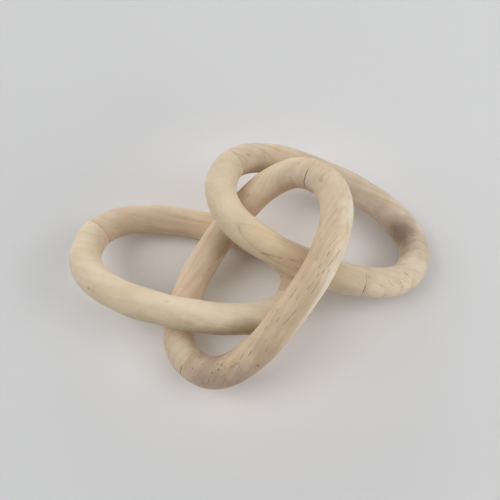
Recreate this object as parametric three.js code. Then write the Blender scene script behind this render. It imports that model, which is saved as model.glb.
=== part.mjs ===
// Teething chain: three interlinked oval wooden links lying in a loose pile.
// Millimetres, +Z up. The pile stands on z = 0 and is centred on X and Y.
//
// Every link is round hardwood stock bent to a flattened oval. It is two half-links that meet in two
// butt joints, each with a hidden dowel, because a closed link has to be opened once to go through
// its neighbours.
import * as THREE from 'three';

// ---- driving dimensions, millimetres -------------------------------------------------------------
const GLUE_GAP = 0.3; // between the faces of two half-links
const DOWEL_RADIUS = 2.0;
const DOWEL_LENGTH = 11.4;
const DOWEL_CHAMFER = 0.4;
const DOWEL_HOLE_RADIUS = 2.36;
const DOWEL_HOLE_DEPTH = 6.0; // from the glue face

// ---- mesh fineness -------------------------------------------------------------------------------
const STOCK_SIDES = 16; // sides of the round section
const SECTION_STEP = 3.3; // distance between sections along the stock
const ARC_DIVISIONS = 1440;

// ---- the three links -----------------------------------------------------------------------------
// halfLength and halfWidth reach to the middle of the stock. squareness is the exponent of the oval:
// 2 is an ellipse, and more is squarer. taper widens the +X end by that share. Handmade links differ
// a little, so each has its own. centre and tilt (degrees, turned in the order X, Y, Z) place the
// link where it comes to rest. A glue joint is given as the share of the way round the oval, from
// its +X end and anticlockwise seen from above.
const LINKS = [
  {
    name: 'left_link',
    halfLength: 38.4,
    halfWidth: 20.0,
    squareness: 2.38,
    taper: -0.012,
    stockRadius: 5.5,
    centre: [-22.65, -0.4, 11.48],
    tilt: [-15.96, 5.27, -10.25],
    halves: [
      { name: 'far_half', from: 0.965, to: 1.465, tone: 'rosy' },
      { name: 'near_half', from: 0.465, to: 0.965, tone: 'cream' },
    ],
    dowels: [
      { name: 'left_dowel', at: 0.465 },
      { name: 'right_dowel', at: 0.965 },
    ],
  },
  {
    name: 'middle_link',
    halfLength: 38.9,
    halfWidth: 20.1,
    squareness: 2.35,
    taper: 0.009,
    stockRadius: 5.45,
    centre: [0.32, -5.37, 20.2],
    tilt: [3.57, -26.6, 50.91],
    halves: [
      { name: 'left_half', from: 0.01, to: 0.503, tone: 'cream' },
      { name: 'right_half', from: 0.503, to: 1.01, tone: 'rosy' },
    ],
    dowels: [
      { name: 'top_dowel', at: 0.01 },
      { name: 'bottom_dowel', at: 0.503 },
    ],
  },
  {
    name: 'right_link',
    halfLength: 38.8,
    halfWidth: 20.0,
    squareness: 2.3,
    taper: -0.022,
    stockRadius: 5.5,
    centre: [24.57, 15.53, 17.31],
    tilt: [-4.01, 18.58, -15.27],
    halves: [
      { name: 'far_half', from: 0.849, to: 1.461, tone: 'rosy' },
      { name: 'near_half', from: 0.461, to: 0.849, tone: 'cream' },
    ],
    dowels: [
      { name: 'left_dowel', at: 0.461 },
      { name: 'right_dowel', at: 0.849 },
    ],
  },
];

const WOODS = {
  cream: { color: '#dcc39c', roughness: 0.72 },
  rosy: { color: '#d3b08c', roughness: 0.72 },
  dowel: { color: '#cdb48a', roughness: 0.8 },
};

// ---- shapes --------------------------------------------------------------------------------------

// The middle line of the stock: a flattened oval in the link's own XY plane.
class LinkOval extends THREE.Curve {
  constructor({ halfLength, halfWidth, squareness, taper }) {
    super();
    Object.assign(this, { halfLength, halfWidth, taper, bend: 2 / squareness });
    this.arcLengthDivisions = ARC_DIVISIONS;
  }

  getPoint(share, target = new THREE.Vector3()) {
    const along = Math.cos(2 * Math.PI * share);
    const across = Math.sin(2 * Math.PI * share);
    const x = Math.sign(along) * Math.abs(along) ** this.bend;
    const y = Math.sign(across) * Math.abs(across) ** this.bend;
    return target.set(this.halfLength * x, this.halfWidth * y * (1 + this.taper * x), 0);
  }

  // Middle of the stock, the way along it and the way out of the oval, at any share of its length.
  stationAt(share) {
    const u = share - Math.floor(share);
    const reach = 0.0005;
    const before = this.getPointAt(u < reach ? u + 1 - reach : u - reach);
    const after = this.getPointAt(u + reach > 1 ? u + reach - 1 : u + reach);
    const along = after.sub(before).normalize();
    return { middle: this.getPointAt(u), along, out: new THREE.Vector3(along.y, -along.x, 0) };
  }
}

// A ring of points round a station, radius apart from its middle and moved along the stock.
function ringAround({ middle, along, out }, radius, shift = 0) {
  const up = new THREE.Vector3(0, 0, 1);
  return Array.from({ length: STOCK_SIDES }, (_, side) => {
    const turn = (2 * Math.PI * side) / STOCK_SIDES;
    return middle
      .clone()
      .addScaledVector(along, shift)
      .addScaledVector(out, radius * Math.cos(turn))
      .addScaledVector(up, radius * Math.sin(turn));
  });
}

// Skins a closed body over rings in order, with a point closing each end.
function bodyFromRings(rings, firstTip, lastTip) {
  const corners = [firstTip, ...rings.flat(), lastTip];
  const corner = (ring, side) => 1 + ring * STOCK_SIDES + (side % STOCK_SIDES);
  const faces = [];
  for (let side = 0; side < STOCK_SIDES; side++) {
    faces.push(0, corner(0, side), corner(0, side + 1));
    for (let ring = 0; ring + 1 < rings.length; ring++) {
      const [a, b] = [corner(ring, side), corner(ring, side + 1)];
      const [c, d] = [corner(ring + 1, side + 1), corner(ring + 1, side)];
      faces.push(a, c, b, a, d, c);
    }
    const last = rings.length - 1;
    faces.push(corners.length - 1, corner(last, side + 1), corner(last, side));
  }
  const geometry = new THREE.BufferGeometry();
  geometry.setAttribute(
    'position',
    new THREE.Float32BufferAttribute(corners.flatMap((p) => [p.x, p.y, p.z]), 3),
  );
  geometry.setIndex(faces);
  geometry.computeVertexNormals();
  return geometry;
}

// The station at a glue joint, moved along the stock by half the glue gap, forwards or back. The two
// faces of a joint share the joint's own direction, so they are parallel.
function glueFaceAt(oval, share, way) {
  const { middle, along, out } = oval.stationAt(share);
  return { middle: middle.addScaledVector(along, (way * GLUE_GAP) / 2), along, out };
}

// Half of a link: round stock along part of the oval, with a blind dowel hole in each glue face.
function halfLinkGeometry(link, oval, { from, to }) {
  const steps = Math.round(((to - from) * oval.getLength()) / SECTION_STEP);
  const stations = [glueFaceAt(oval, from, 1)];
  for (let i = 1; i < steps; i++) stations.push(oval.stationAt(from + ((to - from) * i) / steps));
  stations.push(glueFaceAt(oval, to, -1));
  const [first, last] = [stations[0], stations[steps]];
  const deep = DOWEL_HOLE_DEPTH;
  const rings = [
    ringAround(first, DOWEL_HOLE_RADIUS, deep),
    ringAround(first, DOWEL_HOLE_RADIUS),
    ...stations.map((station) => ringAround(station, link.stockRadius)),
    ringAround(last, DOWEL_HOLE_RADIUS),
    ringAround(last, DOWEL_HOLE_RADIUS, -deep),
  ];
  const firstTip = first.middle.clone().addScaledVector(first.along, deep);
  const lastTip = last.middle.clone().addScaledVector(last.along, -deep);
  return bodyFromRings(rings, firstTip, lastTip);
}

// A dowel along Y with chamfered ends.
function dowelGeometry() {
  const half = DOWEL_LENGTH / 2;
  const profile = [
    [0, -half],
    [DOWEL_RADIUS - DOWEL_CHAMFER, -half],
    [DOWEL_RADIUS, DOWEL_CHAMFER - half],
    [DOWEL_RADIUS, half - DOWEL_CHAMFER],
    [DOWEL_RADIUS - DOWEL_CHAMFER, half],
    [0, half],
  ].map(([x, y]) => new THREE.Vector2(x, y));
  return new THREE.LatheGeometry(profile, STOCK_SIDES);
}

function woodMaterial(tone) {
  return new THREE.MeshStandardMaterial({ ...WOODS[tone], metalness: 0 });
}

function makeLink(link) {
  const group = new THREE.Group();
  group.name = link.name;
  const oval = new LinkOval(link);
  for (const half of link.halves) {
    const mesh = new THREE.Mesh(halfLinkGeometry(link, oval, half), woodMaterial(half.tone));
    mesh.name = `${link.name}_${half.name}`;
    group.add(mesh);
  }
  for (const dowel of link.dowels) {
    const { middle, along } = oval.stationAt(dowel.at);
    const mesh = new THREE.Mesh(dowelGeometry(), woodMaterial('dowel'));
    mesh.name = `${link.name}_${dowel.name}`;
    mesh.position.copy(middle);
    mesh.quaternion.setFromUnitVectors(new THREE.Vector3(0, 1, 0), along);
    group.add(mesh);
  }
  group.position.set(...link.centre);
  group.rotation.set(...link.tilt.map(THREE.MathUtils.degToRad));
  return group;
}

// ---- the assembly --------------------------------------------------------------------------------
const teethingChain = new THREE.Group();
teethingChain.name = 'teething_chain';
for (const link of LINKS) teethingChain.add(makeLink(link));

export default teethingChain;
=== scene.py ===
"""Three interlinked oval wooden links lying in a loose pile on a pale floor."""

import math

import bpy
import numpy as np
from mathutils import Euler, Matrix, Vector


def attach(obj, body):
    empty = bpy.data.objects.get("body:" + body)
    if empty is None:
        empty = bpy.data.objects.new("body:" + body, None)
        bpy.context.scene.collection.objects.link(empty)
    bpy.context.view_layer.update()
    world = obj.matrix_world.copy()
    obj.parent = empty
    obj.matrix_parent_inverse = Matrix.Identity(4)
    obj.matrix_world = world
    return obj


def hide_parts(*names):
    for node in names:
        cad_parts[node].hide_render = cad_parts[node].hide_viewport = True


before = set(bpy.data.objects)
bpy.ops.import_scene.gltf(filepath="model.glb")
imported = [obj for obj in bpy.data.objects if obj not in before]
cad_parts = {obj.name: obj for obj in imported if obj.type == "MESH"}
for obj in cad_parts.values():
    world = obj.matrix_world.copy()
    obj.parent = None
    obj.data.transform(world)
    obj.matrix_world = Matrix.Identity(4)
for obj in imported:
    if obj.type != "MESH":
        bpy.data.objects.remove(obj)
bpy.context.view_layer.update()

MM = 0.001
scene = bpy.context.scene

# ---- the links, as the CAD model has them, in millimetres -----------------------------------------
HOLE_RADIUS = 2.36
HOLE_DEPTH = 6.0

# size: half-length, half-width, squareness, taper and radius of the stock. tilt: degrees, in the
# order X, Y, Z about the link's own axes. halves: from and to, as shares of the way round from +X.
LINKS = {
    "left_link": {
        "size": (38.4, 20.0, 2.38, -0.012, 5.5),
        "centre": (-22.65, -0.4, 11.48),
        "tilt": (-15.96, 5.27, -10.25),
        "halves": {"far_half": (0.965, 1.465), "near_half": (0.465, 0.965)},
    },
    "middle_link": {
        "size": (38.9, 20.1, 2.35, 0.009, 5.45),
        "centre": (0.32, -5.37, 20.2),
        "tilt": (3.57, -26.6, 50.91),
        "halves": {"left_half": (0.01, 0.503), "right_half": (0.503, 1.01)},
    },
    "right_link": {
        "size": (38.8, 20.0, 2.3, -0.022, 5.5),
        "centre": (24.57, 15.53, 17.31),
        "tilt": (-4.01, 18.58, -15.27),
        "halves": {"far_half": (0.849, 1.461), "near_half": (0.461, 0.849)},
    },
}


def link_placement(link):
    """The link's own frame in the object's frame, in millimetres."""
    facts = LINKS[link]
    turned = Matrix.Identity(4)
    for axis, angle in zip("XYZ", facts["tilt"], strict=True):
        turned = turned @ Matrix.Rotation(math.radians(angle), 4, axis)
    return Matrix.Translation(facts["centre"]) @ turned


class Oval:
    """The middle line of a link's stock, by share of its length, in the link's own plane."""

    SAMPLES = 7200
    REACH = 0.004  # share either side that a direction is taken over

    def __init__(self, half_length, half_width, squareness, taper, stock_radius):
        self.radius = stock_radius
        turn = np.linspace(0, 2 * math.pi, self.SAMPLES + 1)
        c, s, bend = np.cos(turn), np.sin(turn), 2 / squareness
        x = np.sign(c) * np.abs(c) ** bend
        y = np.sign(s) * np.abs(s) ** bend * (1 + taper * x)
        self.points = np.stack([half_length * x, half_width * y], 1)
        steps = np.linalg.norm(np.diff(self.points, axis=0), axis=1)
        self.reach = np.concatenate([[0], np.cumsum(steps)])
        self.length = self.reach[-1]

    def at(self, share):
        want = (share % 1.0) * self.length
        return np.array([np.interp(want, self.reach, self.points[:, i]) for i in (0, 1)])

    def station(self, share):
        """Middle of the stock, direction along it and direction out of the oval."""
        along = self.at(share + self.REACH) - self.at(share - self.REACH)
        along /= np.linalg.norm(along)
        return self.at(share), along, np.array([along[1], -along[0]])


OVALS = {link: Oval(*facts["size"]) for link, facts in LINKS.items()}

# ---- half-links -----------------------------------------------------------------------------------
SIDES = 96
SECTION_STEP = 0.6
FACE_INSET = 0.015  # from a glue joint's plane to each glue face
EDGE_ROUND = 0.09  # of the edge round a glue face
EDGE_STEPS = 5
WAVES = 9  # of hand sanding
WAVE_HEIGHT = 0.05
WAVE_SEED = 100
MOST_LOBES = 4  # that a wave has round the stock
BUMPS_ALONG = (2, 14)  # the fewest and the most that a wave has along a whole link

# Small hollows in the surface: link, middle, radius and depth.
DENTS = [
    ("left_link", (-31.2, -19.4, 2.3), 1.1, 0.28),
    ("left_link", (-29.6, -19.9, 3.0), 2.2, 0.14),
    ("middle_link", (37.7, -4.6, 5.4), 1.3, 0.16),
    ("middle_link", (-34.9, -11.7, 5.4), 0.8, 0.12),
    ("middle_link", (-28.5, -16.5, 5.3), 1.0, 0.14),
    ("middle_link", (-24.0, -22.3, 2.0), 0.9, 0.16),
    ("right_link", (33.0, -14.3, 5.1), 0.9, 0.12),
    ("right_link", (29.0, -17.1, 5.0), 1.0, 0.12),
]


def sanding_waves(seed, length):
    """How far hand sanding leaves a link's stock off round, by distance along it and turn about it."""
    rng = np.random.default_rng(seed)
    lobes = rng.integers(0, MOST_LOBES + 1, WAVES)
    pace = 2 * math.pi / length * rng.integers(BUMPS_ALONG[0], BUMPS_ALONG[1] + 1, WAVES)
    start = rng.uniform(0, 2 * math.pi, WAVES)
    height = WAVE_HEIGHT * rng.uniform(0.4, 1.0, WAVES)

    def offset(distance, turn):
        return sum(
            height[i] * np.sin(lobes[i] * turn + pace[i] * distance + start[i]) for i in range(WAVES)
        )

    return offset


def half_link_points(link, share_from, share_to, waves, proud):
    """Rings of points, from the bottom of one dowel hole over the stock to the bottom of the other.

    proud is how much thicker than the stock this half is sanded.
    """
    oval = OVALS[link]
    turn = np.arange(SIDES) * 2 * math.pi / SIDES

    def ring(share, shift, radius, sanded):
        middle, along, out = oval.station(share)
        distance = (share % 1.0) * oval.length + shift
        r = radius + (proud + waves(distance, turn) if sanded else np.zeros(SIDES))
        flat = (middle + along * shift)[None, :] + np.outer(r * np.cos(turn), out)
        return np.column_stack([flat, r * np.sin(turn)])

    def glue_end(share, way):
        face = way * FACE_INSET
        rings = [
            ring(share, face + way * HOLE_DEPTH, HOLE_RADIUS, False),
            ring(share, face, HOLE_RADIUS, False),
        ]
        for step in range(EDGE_STEPS):
            lean = step * math.pi / 2 / (EDGE_STEPS - 1)
            drop = EDGE_ROUND * (1 - math.sin(lean))
            set_back = EDGE_ROUND * (1 - math.cos(lean))
            rings.append(ring(share, face + way * set_back, oval.radius - drop, True))
        return rings

    count = round((share_to - share_from) * oval.length / SECTION_STEP)
    shares = np.linspace(share_from, share_to, count + 1)[1:-1]
    body = [ring(share, 0.0, oval.radius, True) for share in shares]
    return np.array(glue_end(share_from, 1) + body + glue_end(share_to, -1)[::-1])


def press_dents(link, rings):
    inward = rings.mean(1, keepdims=True) - rings
    inward /= np.linalg.norm(inward, axis=2, keepdims=True)
    for where, middle, radius, depth in DENTS:
        if where == link:
            apart = np.linalg.norm(rings - np.array(middle), axis=2, keepdims=True)
            rings = rings + inward * depth * np.exp(-((apart / radius) ** 2))
    return rings


def half_link_mesh(name, link, share_from, share_to, waves, proud):
    rings = press_dents(link, half_link_points(link, share_from, share_to, waves, proud))
    tips = [rings[0].mean(0), rings[-1].mean(0)]
    points = np.concatenate([rings.reshape(-1, 3), tips])
    placement = np.array(link_placement(link))
    points = (points @ placement[:3, :3].T + placement[:3, 3]) * MM
    n = len(rings)

    # The two fans of triangles are the bottoms of the dowel holes.
    faces = []
    for k in range(SIDES):
        j = (k + 1) % SIDES
        faces.append((n * SIDES, k, j))
        for i in range(n - 1):
            faces.append((i * SIDES + k, (i + 1) * SIDES + k, (i + 1) * SIDES + j, i * SIDES + j))
        faces.append((n * SIDES + 1, (n - 1) * SIDES + j, (n - 1) * SIDES + k))
    mesh = bpy.data.meshes.new(name)
    mesh.from_pydata(points.tolist(), [], faces)
    mesh.validate()
    mesh.shade_smooth()
    return mesh


# ---- wood -----------------------------------------------------------------------------------------
class Nodes:
    """Short ways to add shader nodes to one material."""

    def __init__(self, material):
        material.use_nodes = True
        self.tree = material.node_tree
        self.tree.nodes.clear()

    def put(self, socket, value):
        if isinstance(value, bpy.types.NodeSocket):
            self.tree.links.new(value, socket)
        elif isinstance(value, tuple) and len(socket.default_value) == 4:
            socket.default_value = (*value[:3], 1.0)
        else:
            socket.default_value = value

    def add(self, kind, values=None, **inputs):
        """values are the node's own settings, and inputs its sockets, with _ for a space."""
        node = self.tree.nodes.new(kind)
        for key, value in (values or {}).items():
            setattr(node, key, value)
        for key, value in inputs.items():
            self.put(node.inputs[key.replace("_", " ")], value)
        return node

    def math(self, operation, *terms):
        node = self.add("ShaderNodeMath", {"operation": operation})
        for socket, value in zip(node.inputs, terms, strict=False):
            self.put(socket, value)
        return node.outputs[0]

    def vector(self, operation, *terms):
        node = self.add("ShaderNodeVectorMath", {"operation": operation})
        for socket, value in zip(node.inputs, terms, strict=False):
            self.put(socket, value)
        return node.outputs["Value" if operation in ("LENGTH", "DOT_PRODUCT") else "Vector"]

    def noise(self, point, scale, detail=2.0, roughness=0.5):
        """The outputs of 3D noise, scale being how many waves a millimetre holds in X, Y and Z."""
        node = self.add("ShaderNodeTexNoise", None, Scale=1.0, Detail=detail, Roughness=roughness)
        self.put(node.inputs["Vector"], self.vector("MULTIPLY", point, scale))
        return node.outputs

    def ramp(self, value, *stops):
        """stops are (position, grey)."""
        node = self.add("ShaderNodeValToRGB", None, Fac=value)
        while len(node.color_ramp.elements) < len(stops):
            node.color_ramp.elements.new(0.5)
        for element, (position, grey) in zip(node.color_ramp.elements, stops, strict=True):
            element.position = position
            element.color = (grey, grey, grey, 1.0)
        return node.outputs["Color"]

    def mix(self, a, b, share, kind="MIX"):
        node = self.add("ShaderNodeMix", {"data_type": "RGBA", "blend_type": kind})
        for socket, value in ((node.inputs[6], a), (node.inputs[7], b), (node.inputs[0], share)):
            self.put(socket, value)
        return node.outputs[2]

    def finish(self, shader):
        output = self.add("ShaderNodeOutputMaterial")
        self.tree.links.new(shader.outputs["BSDF"], output.inputs["Surface"])


def srgb(red, green, blue):
    """A linear colour from 0 to 255 display values."""
    return tuple(
        c / 12.92 if c <= 0.04045 else ((c + 0.055) / 1.055) ** 2.4
        for c in (red / 255, green / 255, blue / 255)
    )


PORE_BROWN = srgb(118, 88, 60)
GLUE_BROWN = srgb(96, 74, 54)
MARK_STRENGTH = 0.8  # how far a dark mark goes towards PORE_BROWN

# What the colour of the wood is multiplied by, and how strongly where that is the same everywhere.
RING_TINT = (0.80, 0.70, 0.58)
CURL_TINT = (0.84, 0.81, 0.77)
FIBRE_TINT = (0.80, 0.74, 0.67)
FIBRE_STRENGTH = 0.28
DARK_STREAK_TINT = (0.78, 0.68, 0.57)
PALE_STREAK_TINT = (1.09, 1.11, 1.14)

LINK_END = 44.0  # how far along X a link reaches
FARTHEST_RING = 60.0  # of any ring from its pith
OFFSET_SPAN = 400.0  # the most that a wood's noise is moved, so that no two woods are alike
JOINT_REACH = 9.0  # from the middle of the stock, to tell a glue joint from the link's other side
PORE_EDGE = 16.0  # how far the ragged ends of a span of pores vary
WANDER_PER_RING = 6.0  # how much wander of the grain shifts the growth rings by up to one ring
FUZZ_HEIGHT = 0.03  # this and the next two are the relief, in millimetres
FIBRE_HEIGHT = 0.05
MARK_DEPTH = 0.14

# Where a glue joint stands open: share of the way round, and the middle and reach of the gap.
OPEN_JOINTS = {
    "middle_link": [(0.01, (35.6, 2.4, 4.0), 4.2), (0.503, (-41.8, -1.2, 4.6), 2.4)],
    "right_link": [(0.849, (19.6, -22.6, 3.4), 2.2)],
}


class Wood(Nodes):
    """Sanded, unfinished hardwood, solid through the piece, with its grain along the link's own X.

    colour is the colour so far, and dark says where pores and other dark marks are, from 0 to 1.
    Lengths are millimetres in the link's own frame.
    """

    def __init__(self, name, link, seed, wander):
        self.material = bpy.data.materials.new(name)
        super().__init__(self.material)
        self.link = link
        self.wander = wander
        self.colour = None
        self.dark = 0.0
        placement = link_placement(link)
        mapping = self.add(
            "ShaderNodeMapping",
            {"vector_type": "TEXTURE"},
            Vector=self.add("ShaderNodeTexCoord").outputs["Object"],
            Location=tuple(placement.translation * MM),
            Rotation=tuple(placement.to_euler()),
            Scale=(MM, MM, MM),
        )
        self.point = mapping.outputs["Vector"]
        self.along_x = self.vector("DOT_PRODUCT", self.point, (1.0, 0.0, 0.0))
        offset = np.random.default_rng(seed).uniform(-OFFSET_SPAN, OFFSET_SPAN, 3)
        self.own = self.vector("ADD", self.point, tuple(offset))

        # The grain wanders slowly sideways.
        sway = self.vector("MULTIPLY", self.drift(0.02, 0.04), (0.0, wander, wander))
        self.grain = self.vector("ADD", self.point, sway)
        self.loose = self.vector("ADD", self.own, sway)

        self.ragged = self.noise(self.own, (0.16, 0.3, 0.3), 3.0, 0.6)["Fac"]
        self.broad = self.noise(self.loose, (0.02, 0.09, 0.09), 3.0, 0.55)["Fac"]
        self.fibre = self.noise(self.loose, (0.06, 1.4, 1.4), 5.0, 0.62)["Fac"]
        self.coarse_drift = self.drift(0.25, 0.25)
        self.fine_drift = self.drift(0.7, 0.7)

    def drift(self, along, across):
        """A vector of smooth noise about 0, of so many waves a millimetre along the grain and across."""
        noise = self.noise(self.own, (along, across, across))["Color"]
        return self.vector("SUBTRACT", noise, (0.5, 0.5, 0.5))

    def near(self, middle, reach):
        """1 up to half the reach from middle, and 0 past the reach."""
        apart = self.vector("LENGTH", self.vector("SUBTRACT", self.point, middle))
        return self.ramp(self.math("MULTIPLY", apart, 1 / reach), (0.5, 1.0), (1.0, 0.0))

    def cover(self, tone, *shares):
        """Brings the colour towards tone by the product of shares."""
        share = shares[0]
        for other in shares[1:]:
            share = self.math("MULTIPLY", share, other)
        self.colour = self.mix(self.colour, tone, share)

    def tint(self, tone, value, strength, low, high):
        """Multiplies the colour by tone where value is near high, and leaves it where it is near low."""
        stops = sorted([(low, 0.0), (high, 1.0)])
        share = self.math("MULTIPLY", self.ramp(value, *stops), strength)
        self.colour = self.mix(self.colour, tone, share, "MULTIPLY")

    def darken(self, mark, share):
        self.dark = self.math("MAXIMUM", self.dark, self.math("MULTIPLY", mark, share))

    def paint_broadly(self, light, deep, stain):
        self.colour = self.mix(light, deep, self.ramp(self.broad, (0.38, 0.0), (0.62, 1.0)))
        patch = self.noise(self.own, (0.06, 0.12, 0.12), 3.0, 0.6)["Fac"]
        self.cover(stain, self.ramp(patch, (0.48, 0.0), (0.72, 1.0)), 0.6)

    def from_pith(self, pith):
        across = self.vector("SUBTRACT", self.grain, (0.0, *pith))
        return self.vector("LENGTH", self.vector("MULTIPLY", across, (0.0, 1.0, 1.0)))

    def add_heartwood(self, depth, reach, tone):
        """Heartwood out to reach from the pith, with a thin dark rim. depth is from the pith."""
        depth = self.math("DIVIDE", depth, FARTHEST_RING)
        edge = reach / FARTHEST_RING
        self.cover(tone, self.ramp(depth, (edge - 0.012, 0.7), (edge + 0.004, 0.0)))
        rim = self.ramp(depth, (edge - 0.006, 0.0), (edge, 1.0), (edge + 0.003, 0.0))
        self.cover(PORE_BROWN, rim, self.ramp(self.broad, (0.4, 0.15), (0.55, 0.45)))

    def add_zone(self, middle, reach, tone, share):
        """A soft patch with a ragged edge. reach is along X, Y and Z."""
        apart = self.vector("SUBTRACT", self.point, middle)
        apart = self.vector("LENGTH", self.vector("MULTIPLY", apart, tuple(1 / r for r in reach)))
        edge = self.math("MULTIPLY", self.math("ADD", apart, self.ragged), 0.5)
        self.cover(tone, self.ramp(edge, (0.42, 1.0), (0.8, 0.0)), share)

    def add_rings(self, depth, width, start, strength):
        """Growth rings, each darkening slowly outwards and ending sharply."""
        ring = self.math("MULTIPLY_ADD", depth, 1 / width, start)
        unevenness = self.noise(self.loose, (0.012, 0.1, 0.1))["Fac"]
        ring = self.math("MULTIPLY_ADD", unevenness, self.wander / WANDER_PER_RING, ring)
        ring = self.math("FRACT", ring)
        year = self.ramp(ring, (0.0, 0.0), (0.55, 0.3), (0.86, 1.0), (0.93, 0.85), (1.0, 0.0))
        self.tint(RING_TINT, year, strength, 0.0, 1.0)

    def add_figure(self, curls, streaks):
        """Curly figure, fibres, and streaks along the grain, some darker and some paler."""
        curl = self.noise(self.own, (0.16, 0.05, 0.05))["Fac"]
        streak = self.noise(self.loose, (0.03, 0.62, 0.62), 3.0, 0.55)["Fac"]
        self.tint(CURL_TINT, curl, curls, 0.42, 0.62)
        self.tint(FIBRE_TINT, self.fibre, FIBRE_STRENGTH, 0.42, 0.72)
        self.tint(DARK_STREAK_TINT, streak, streaks, 0.52, 0.66)
        self.tint(PALE_STREAK_TINT, streak, streaks, 0.46, 0.34)

    def vessels(self, length, width, size, keep, salt):
        """Spindles along the grain, of which a share is kept. salt keeps two layers apart."""
        stretch = (1 / length, 1 / width, 1 / width)
        cells = self.vector("MULTIPLY_ADD", self.loose, stretch, (salt, salt, salt))
        cell = self.add("ShaderNodeTexVoronoi", None, Vector=cells, Scale=1.0)
        luck = self.add("ShaderNodeSeparateColor", None, Color=cell.outputs["Color"])
        kept = self.math("LESS_THAN", luck.outputs["Red"], keep)
        spindle = self.ramp(cell.outputs["Distance"], (size * 0.5, 1.0), (size, 0.0))
        return self.math("MULTIPLY", spindle, kept)

    def add_pores(self, amount, span):
        """Thin dark vessels along the grain, crowded in places, within a span of X."""
        crowd = self.noise(self.loose, (0.025, 0.14, 0.14), 1.0)["Fac"]
        crowd = self.ramp(crowd, (0.40, 0.25), (0.54, 1.0))
        middle = (span[0] + span[1]) / 2 + PORE_EDGE / 2
        ragged_x = self.math("MULTIPLY_ADD", self.ragged, PORE_EDGE, self.along_x)
        within = self.math("COMPARE", ragged_x, middle, (span[1] - span[0]) / 2)
        crowd = self.math("MULTIPLY", crowd, within)
        self.darken(self.math("MULTIPLY", self.vessels(6.0, 0.7, 0.22, amount, 0.0), crowd), 0.8)
        self.darken(self.vessels(10.0, 1.1, 0.18, 0.6 * amount, 7.3), crowd)

    def add_pits(self, amount, way):
        """Pores cut across, towards the link's +X end where way is 1 and its -X end where it is -1."""
        end_share = self.math("MULTIPLY", self.along_x, way / LINK_END)
        holes = self.vessels(1.5, 0.9, 0.22, 0.5 * amount, 3.1)
        self.darken(holes, self.ramp(end_share, (0.5, 0.0), (0.75, 1.0)))

    def add_knot(self, middle, radius, share):
        warped = self.vector("MULTIPLY_ADD", self.fine_drift, (radius, radius, radius), self.point)
        apart = self.vector("LENGTH", self.vector("SUBTRACT", warped, middle))
        apart = self.math("DIVIDE", apart, 2 * radius)
        self.darken(self.ramp(apart, (0.2, 1.0), (0.5, 0.0)), share)

    def add_crack(self, start, end, width, bend, share):
        run = Vector(end) - Vector(start)
        bent = self.vector("MULTIPLY_ADD", self.coarse_drift, (bend, bend, bend), self.point)
        bent = self.vector("SUBTRACT", bent, start)
        reached = self.vector("DOT_PRODUCT", bent, tuple(run))
        reached = self.math("MAXIMUM", self.math("MULTIPLY", reached, 1 / run.length_squared), 0.0)
        reached = self.math("MINIMUM", reached, 1.0)
        apart = self.vector("SUBTRACT", bent, self.vector("MULTIPLY", reached, tuple(run)))
        line = self.ramp(self.vector("LENGTH", apart), (width * 0.3, 1.0), (width, 0.0))
        self.darken(line, share)

    def add_torn_grain(self, places, pale):
        """Small dark hollows and pale flecks, where the cutter tore the grain."""
        flecks = self.noise(self.own, (0.8, 1.5, 1.5), 2.0, 0.6)["Fac"]
        for middle, reach in places:
            here = self.near(middle, reach)
            self.darken(self.ramp(flecks, (0.52, 0.0), (0.62, 0.55)), here)
            self.cover(pale, self.ramp(flecks, (0.36, 0.7), (0.47, 0.0)), here)

    def beside_joint(self, share):
        """How far a point is from a glue joint's plane, and whether it is on that side of the link."""
        middle, along, _ = OVALS[self.link].station(share)
        apart = self.vector("SUBTRACT", self.point, (*middle, 0.0))
        beside = self.math("ABSOLUTE", self.vector("DOT_PRODUCT", apart, (*along, 0.0)))
        return beside, self.math("LESS_THAN", self.vector("LENGTH", apart), JOINT_REACH)

    def add_open_joints(self):
        for share, middle, reach in OPEN_JOINTS.get(self.link, ()):
            beside, here = self.beside_joint(share)
            gap = self.ramp(beside, (0.06, 0.9), (0.28, 0.0))
            self.darken(self.math("MULTIPLY", gap, self.near(middle, reach)), here)

    def add_glue_lines(self, joints):
        """The glue line of each joint, fainter where the joint closed well."""
        broken = self.noise(self.own, (0.2, 0.2, 0.2))["Fac"]
        broken = self.ramp(broken, (0.42, 0.2), (0.56, 1.0))
        for share, darkness in joints:
            beside, here = self.beside_joint(share)
            line = self.ramp(beside, (0.05, 1.0), (0.22, 0.0))
            self.cover(GLUE_BROWN, line, broken, here, darkness)

    def finish_wood(self):
        """The relief, of open pores, raised fibres and a soft fuzz, and the shader."""
        fuzz = self.noise(self.loose, (0.3, 2.8, 2.8), 3.0, 0.7)["Fac"]
        height = self.math("MULTIPLY", self.fibre, FIBRE_HEIGHT)
        height = self.math("MULTIPLY_ADD", fuzz, FUZZ_HEIGHT, height)
        height = self.math("MULTIPLY_ADD", self.dark, -MARK_DEPTH, height)
        bump = self.add("ShaderNodeBump", None, Strength=0.8, Distance=MM, Height=height)
        shader = self.add(
            "ShaderNodeBsdfPrincipled",
            None,
            Base_Color=self.colour,
            Roughness=self.math("MULTIPLY_ADD", self.fibre, 0.2, 0.62),
            Normal=bump.outputs["Normal"],
            Specular_IOR_Level=0.3,
            Sheen_Weight=0.15,
            Sheen_Roughness=0.5,
        )
        self.finish(shader)


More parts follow.
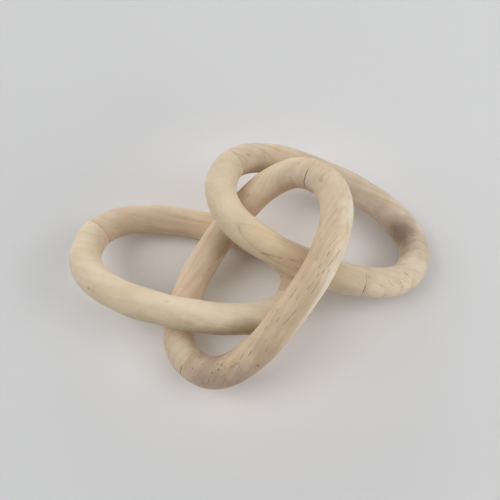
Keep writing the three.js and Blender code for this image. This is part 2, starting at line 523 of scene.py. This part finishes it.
def wood(
    name,
    link,
    light,
    deep,
    stain,
    seed,
    pith,
    ring_width=2.8,
    ring_start=0.0,
    rings=0.3,
    wander=6.0,
    heart=None,
    streaks=0.25,
    pores=0.2,
    pore_span=(-50, 50),
    pits=(0.0, 0.0),
    figure=0.3,
    zones=(),
    spots=(),
    checks=(),
    torn=(),
    glue=(),
):
    """The wood of one piece.

    light, deep and stain are the colours of the pale wood, of the darker wood and of the soft
    patches. pith is the middle of the growth rings in the link's Y and Z. ring_width is the width of
    a ring, and ring_start how far through a ring the pith is, as a share of it. heart is how far from
    the pith the heartwood reaches, and its colour. wander is how far the grain strays. rings,
    streaks, pores, pits and figure say how strongly each of them shows, from 0 to 1, and pits does
    so for the link's -X end and its +X end. The pores lie within pore_span along X. zones are soft
    patches (middle, reach along X, Y and Z, colour, share), spots are small knots (middle, radius,
    share), checks are fine cracks and single long pores (start, end, width, bend, share), torn is
    where the cutter tore the grain (middle, reach), and glue is the link's glue joints (share of the
    way round, how dark). Lengths are millimetres in the link's own frame.
    """
    grown = Wood(name, link, seed, wander)
    depth = grown.from_pith(pith)
    grown.paint_broadly(light, deep, stain)
    if heart:
        grown.add_heartwood(depth, *heart)
    for zone in zones:
        grown.add_zone(*zone)
    grown.add_rings(depth, ring_width, ring_start, rings)
    grown.add_figure(figure, streaks)
    grown.add_pores(pores, pore_span)
    for way, amount in zip((-1, 1), pits, strict=True):
        if amount:
            grown.add_pits(amount, way)
    for spot in spots:
        grown.add_knot(*spot)
    for check in checks:
        grown.add_crack(*check)
    grown.add_torn_grain(torn, light)
    grown.add_open_joints()
    grown.cover(PORE_BROWN, grown.dark, MARK_STRENGTH)
    grown.add_glue_lines(glue)
    grown.finish_wood()
    return grown.material


CREAM = srgb(233, 216, 188)
PINK = srgb(216, 188, 166)
YELLOW_TAN = srgb(220, 193, 157)

WOODS = {
    "left_link_far_half": wood(
        "left_far_wood", "left_link", srgb(224, 203, 175), srgb(213, 189, 161), PINK, 11, (60, 38),
        rings=0.22, streaks=0.15, pores=0.1,
        zones=[
            ((-36, 9, 4), (6, 6, 8), srgb(222, 203, 176), 0.8),
            # Painted shade on the inner side of the far half, towards the left end.
            ((-25, 12, 0), (9, 7, 6), srgb(198, 173, 148), 0.7),
            ((-10, 25, 4), (26, 6, 6), srgb(236, 217, 189), 0.8),
            ((2, 17, 4), (12, 7, 7), srgb(236, 214, 184), 0.8),
            ((-13, 20, 6), (13, 5, 4), srgb(238, 218, 190), 0.4),
        ],
        glue=[(0.465, 0.45), (0.965, 0.4)],
    ),
    "left_link_near_half": wood(
        "left_near_wood", "left_link", srgb(236, 220, 192), srgb(227, 209, 179), srgb(229, 211, 187),
        12, (-70, -60), rings=0.12, streaks=0.1, pores=0.05, figure=0.2, wander=4.0,
        zones=[
            ((-33, 3, 3), (5, 6, 5), PINK, 0.5),
            # Painted shade: this zone and the next darken the lower side of the near half that faces the
            # front.
            ((10, -29, -3), (36, 8, 9), srgb(184, 164, 131), 0.9),
            ((18, -28, -2), (18, 7, 7), srgb(180, 158, 126), 0.6),
            ((27, -14, 5), (14, 7, 6), srgb(246, 231, 206), 0.9),
            # Painted highlight along the top of the near half.
            ((4, -19, 6), (22, 4, 4), srgb(252, 238, 215), 0.4),
            # Painted shade on the lower side that faces the front, towards the +X end.
            ((26, -23, 2), (9, 5, 5), srgb(176, 152, 120), 0.7),
        ],
        spots=[((-31.2, -19.4, 2.3), 0.8, 0.6), ((-29.4, -20.0, 2.9), 1.6, 0.15)],
        glue=[(0.465, 0.45), (0.965, 0.4)],
    ),
    "middle_link_left_half": wood(
        "middle_left_wood", "middle_link", srgb(232, 212, 185), srgb(220, 196, 168), PINK, 13, (70, -20),
        streaks=0.2, pores=0.15,
        zones=[
            ((-30, 16, 0), (10, 8, 8), CREAM, 0.6),
            ((35, 6, 4.5), (7, 6, 5), srgb(236, 217, 196), 0.5),
            ((-37, 3, 5), (7, 8, 8), srgb(233, 215, 190), 0.8),
            # Painted shadow of the right link where it crosses this half.
            ((1, 15, 2), (6, 5, 5), srgb(192, 166, 138), 0.8),
        ],
        glue=[(0.01, 0.3), (0.503, 0.25)],
    ),
    "middle_link_right_half": wood(
        "middle_right_wood", "middle_link", srgb(226, 204, 175), srgb(212, 187, 159), srgb(219, 192, 167),
        14, (-58, 34), rings=0.2, streaks=0.3, pores=0.75, pore_span=(-34, 22), pits=(0.6, 0.0),
        zones=[
            ((37, -12, 3), (11, 12, 8), srgb(234, 214, 187), 0.9),
            ((25, -21, 4), (12, 7, 7), srgb(238, 216, 187), 0.9),
            # This zone and the next: pale wood, with a painted highlight along the outer edge.
            ((17, -27, 0), (27, 6.5, 6.5), srgb(243, 233, 211), 1.0),
            ((36, -19, 0.5), (9, 7, 6), srgb(243, 233, 212), 0.9),
            ((-2, -24.5, 4), (18, 3, 4), srgb(200, 175, 147), 0.8),
            ((36, -1, 4), (5, 5, 4), srgb(240, 220, 199), 0.7),
            ((14, -22, 5), (12, 4, 4), srgb(236, 213, 183), 0.35),
            ((-20, -23, 2), (9, 5, 5), srgb(182, 158, 134), 0.6),
            ((-37, -9, 2), (9, 9, 7), srgb(180, 156, 139), 0.9),
            ((-32, -20, 0), (10, 8, 8), srgb(172, 150, 131), 0.9),
            ((-33, -5, 5), (5, 4, 5), srgb(232, 206, 180), 0.8),
        ],
        spots=[
            ((37.7, -4.6, 5.4), 1.0, 0.35),
            ((-34.9, -11.7, 5.4), 0.45, 0.7),
            ((-37.5, -11.9, 4.7), 0.5, 0.4),
            ((-33.0, -10.5, 5.3), 0.35, 0.5),
            ((-31.4, -11.6, 5.2), 0.4, 0.5),
            ((-28.9, -16.2, 5.3), 0.4, 0.7),
            ((-27.5, -17.0, 5.3), 0.35, 0.7),
            ((-27.7, -18.3, 4.8), 0.35, 0.5),
            ((-24.0, -22.3, 2.0), 0.7, 0.8),
        ],
        checks=[
            ((25.3, -20.5, 4.1), (20.5, -20.6, 4.9), 0.22, 0.5, 0.35),
            ((21.5, -23.1, 2.0), (15.0, -23.4, 3.6), 0.25, 0.5, 0.6),
            ((11.3, -23.7, 3.7), (5.2, -24.1, 3.7), 0.25, 0.5, 0.6),
            ((8.6, -22.7, 4.7), (4.5, -23.1, 4.5), 0.2, 0.4, 0.35),
            ((-1.9, -23.3, 4.4), (-8.0, -22.7, 4.7), 0.25, 0.5, 0.6),
            ((-7.1, -20.5, 5.4), (-8.7, -20.5, 5.4), 0.25, 0.3, 0.6),
            ((-16.8, -17.8, 5.4), (-20.9, -17.3, 5.4), 0.22, 0.4, 0.4),
        ],
        torn=[((-31.7, -12.8, 5.4), 3.0), ((-28.1, -16.8, 5.3), 2.2)],
        glue=[(0.01, 0.3), (0.503, 0.25)],
    ),
    "right_link_far_half": wood(
        "right_far_wood", "right_link", srgb(223, 206, 182), srgb(207, 187, 163), srgb(209, 188, 167),
        15, (66, -40), streaks=0.25, pores=0.15, pits=(0.0, 0.08), figure=0.5,
        zones=[
            ((-33, 10, 4), (9, 8, 8), srgb(226, 206, 181), 0.9),
            ((31, -16, 4), (15, 9, 8), srgb(238, 222, 196), 1.0),
            # Painted shadow of the middle link on the inner side of the right end.
            ((30.5, 6.5, 2), (8.5, 9.5, 5), srgb(158, 137, 119), 0.95),
            ((-23, 18, 5), (9, 6, 6), srgb(236, 214, 187), 0.6),
            # Painted bounce light: the shaded inner side made paler and greyer.
            ((17, 12, 0), (14, 5, 6), srgb(230, 216, 202), 0.6),
            ((38, -7, 4), (6, 7, 7), srgb(242, 226, 203), 0.9),
        ],
        checks=[
            ((32.7, -10.8, 5.4), (34.2, -11.3, 5.5), 0.25, 0.3, 0.7),
            ((31.3, -14.5, 5.4), (32.9, -15.2, 4.8), 0.25, 0.3, 0.6),
            ((27.2, -16.5, 5.4), (29.4, -17.3, 4.8), 0.3, 0.3, 0.4),
        ],
        glue=[(0.461, 0.2), (0.849, 0.3)],
    ),
    "right_link_near_half": wood(
        "right_near_wood", "right_link", srgb(234, 216, 187), srgb(225, 205, 175), srgb(229, 209, 181),
        16, (-27.9, 19.0), ring_width=6.0, ring_start=0.81, rings=0.12, wander=2.5,
        heart=(17.17, YELLOW_TAN), streaks=0.1, pores=0.12, figure=0.2,
        zones=[
            ((17, -22, 3), (11, 10, 10), srgb(224, 207, 178), 0.9),
            ((-19, -19, 6), (14, 6, 5), srgb(238, 216, 180), 0.8),
            ((-43, 5, 2), (6, 9, 6), srgb(214, 197, 172), 0.8),
            ((-36, -14, 5), (7, 6, 5), srgb(244, 224, 192), 0.7),
            ((14, -25, 1), (9, 4, 4), srgb(204, 185, 156), 0.7),
        ],
        checks=[((-19.0, -24.0, 2.0), (-4.5, -22.9, 4.8), 0.4, 2.0, 0.6)],
        glue=[(0.461, 0.2), (0.849, 0.3)],
    ),
}
PROUD = {"left_link_near_half": 0.04, "right_link_far_half": -0.05, "middle_link_left_half": -0.03}

# ---- build and place the links --------------------------------------------------------------------
for index, (link, facts) in enumerate(LINKS.items()):
    waves = sanding_waves(WAVE_SEED + index, OVALS[link].length)
    for half, (share_from, share_to) in facts["halves"].items():
        node = f"{link}_{half}"
        mesh = half_link_mesh(f"{node}_wood", link, share_from, share_to, waves, PROUD.get(node, 0.0))
        mesh.materials.append(WOODS[node])
        piece = bpy.data.objects.new(f"{node}_wood", mesh)
        scene.collection.objects.link(piece)
        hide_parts(node)
        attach(piece, link)

dowel_wood = wood(
    "dowel_wood", "middle_link", srgb(206, 184, 148), srgb(194, 168, 132), srgb(184, 156, 120),
    30, (40, 12),
)
for name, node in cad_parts.items():
    if name.endswith("dowel"):
        node.data.materials.clear()
        node.data.materials.append(dowel_wood)

# ---- floor, in metres ------------------------------------------------------------------------------
FLOOR_RADIUS = 0.75
FLOOR_SIDES = 180
FLOOR_GREY = (0.742, 0.744, 0.744)
PAINTED_BOUNCE_COLOUR = (0.85, 0.824, 0.81)  # painted bounce light from the wood: the floor warmer and paler under and near the object
PAINTED_BOUNCE_REACH = 0.04  # from the middle, where the painted bounce light starts to fade
PAINTED_BOUNCE_END = 0.08  # from the middle, where only the grey is left

floor_turns = [side * 2 * math.pi / FLOOR_SIDES for side in range(FLOOR_SIDES)]
floor_edge = [(FLOOR_RADIUS * math.cos(turn), FLOOR_RADIUS * math.sin(turn), 0) for turn in floor_turns]
floor_mesh = bpy.data.meshes.new("floor")
floor_mesh.from_pydata(floor_edge, [], [range(FLOOR_SIDES)])
floor = bpy.data.objects.new("floor", floor_mesh)
scene.collection.objects.link(floor)
floor_paint = bpy.data.materials.new("floor_paint")
paint = Nodes(floor_paint)
from_middle = paint.vector("LENGTH", paint.add("ShaderNodeTexCoord").outputs["Object"])
# The floor is painted warmer and paler near the object, standing in for light bounced off the wood.
painted_bounce = paint.ramp(from_middle, (PAINTED_BOUNCE_REACH, 1.0), (PAINTED_BOUNCE_END, 0.0))
floor_shader = paint.add(
    "ShaderNodeBsdfPrincipled",
    None,
    Base_Color=paint.mix(FLOOR_GREY, PAINTED_BOUNCE_COLOUR, painted_bounce),
    Roughness=0.85,
    Specular_IOR_Level=0.2,
)
paint.finish(floor_shader)
floor_mesh.materials.append(floor_paint)

# ---- light -----------------------------------------------------------------------------------------
LIGHT_SPREAD = 0.67  # a light's side as a share of its distance
WORLD_COLOUR = (0.97, 0.98, 1.0, 1.0)
WORLD_STRENGTH = 0.12  # of the world as a light
BACKDROP_STRENGTH = 0.62  # of the world where the camera sees it past the floor

# Name, the way it stands from the object (0 is +X and 90 is +Y), its height in degrees, its distance
# in metres, and watts.
LIGHTS = [
    ("ceiling_light", 0, 90, 1.5, 1.4),
    ("back_high_light", 60, 68, 1.5, 1.1),
    ("left_light", 180, 46, 2.6, 28.8),
    ("right_high_light", 0, 46, 1.1, 2.3),
    ("right_light", 0, 26, 1.1, 2.6),
    ("back_light", 90, 9, 1.5, 8.9),
    ("back_left_light", 135, 9, 1.5, 6.2),
    ("front_right_light", 315, 9, 1.5, 7.5),
]

world = bpy.data.worlds.new("studio")
scene.world = world
world.use_nodes = True
background = world.node_tree.nodes["Background"]
background.inputs["Color"].default_value = WORLD_COLOUR
seen = world.node_tree.nodes.new("ShaderNodeLightPath").outputs["Is Camera Ray"]
strength = world.node_tree.nodes.new("ShaderNodeMapRange")
strength.inputs["To Min"].default_value = WORLD_STRENGTH
strength.inputs["To Max"].default_value = BACKDROP_STRENGTH
world.node_tree.links.new(seen, strength.inputs["Value"])
world.node_tree.links.new(strength.outputs["Result"], background.inputs["Strength"])


def area_light(name, way, height, distance, watts):
    data = bpy.data.lights.new(name, "AREA")
    data.shape = "SQUARE"
    data.size = LIGHT_SPREAD * distance
    data.energy = watts
    lamp = bpy.data.objects.new(name, data)
    way, height = math.radians(way), math.radians(height)
    flat = math.cos(height)
    lamp.location = distance * Vector((flat * math.cos(way), flat * math.sin(way), math.sin(height)))
    lamp.rotation_euler = (-lamp.location).to_track_quat("-Z", "Y").to_euler()
    scene.collection.objects.link(lamp)


for light in LIGHTS:
    area_light(*light)

# ---- camera, in degrees and millimetres ------------------------------------------------------------
CAMERA_ELEVATION = 67.879
CAMERA_DISTANCE = 218.64
CAMERA_AIM = (-1.24, 10.71, -0.02)
CAMERA_LENS = 40.392
CAMERA_SENSOR = 36.0

camera_data = bpy.data.cameras.new("camera")
camera_data.sensor_width = CAMERA_SENSOR
camera_data.lens = CAMERA_LENS
camera_data.clip_start = 0.01
camera_data.clip_end = 20.0
camera = bpy.data.objects.new("camera", camera_data)
elevation = math.radians(CAMERA_ELEVATION)
back = Vector((0, -math.cos(elevation), math.sin(elevation)))
camera.location = (Vector(CAMERA_AIM) + back * CAMERA_DISTANCE) * MM
camera.rotation_euler = Euler((math.pi / 2 - elevation, 0, 0))
scene.collection.objects.link(camera)
scene.camera = camera

scene.view_settings.view_transform = "Standard"
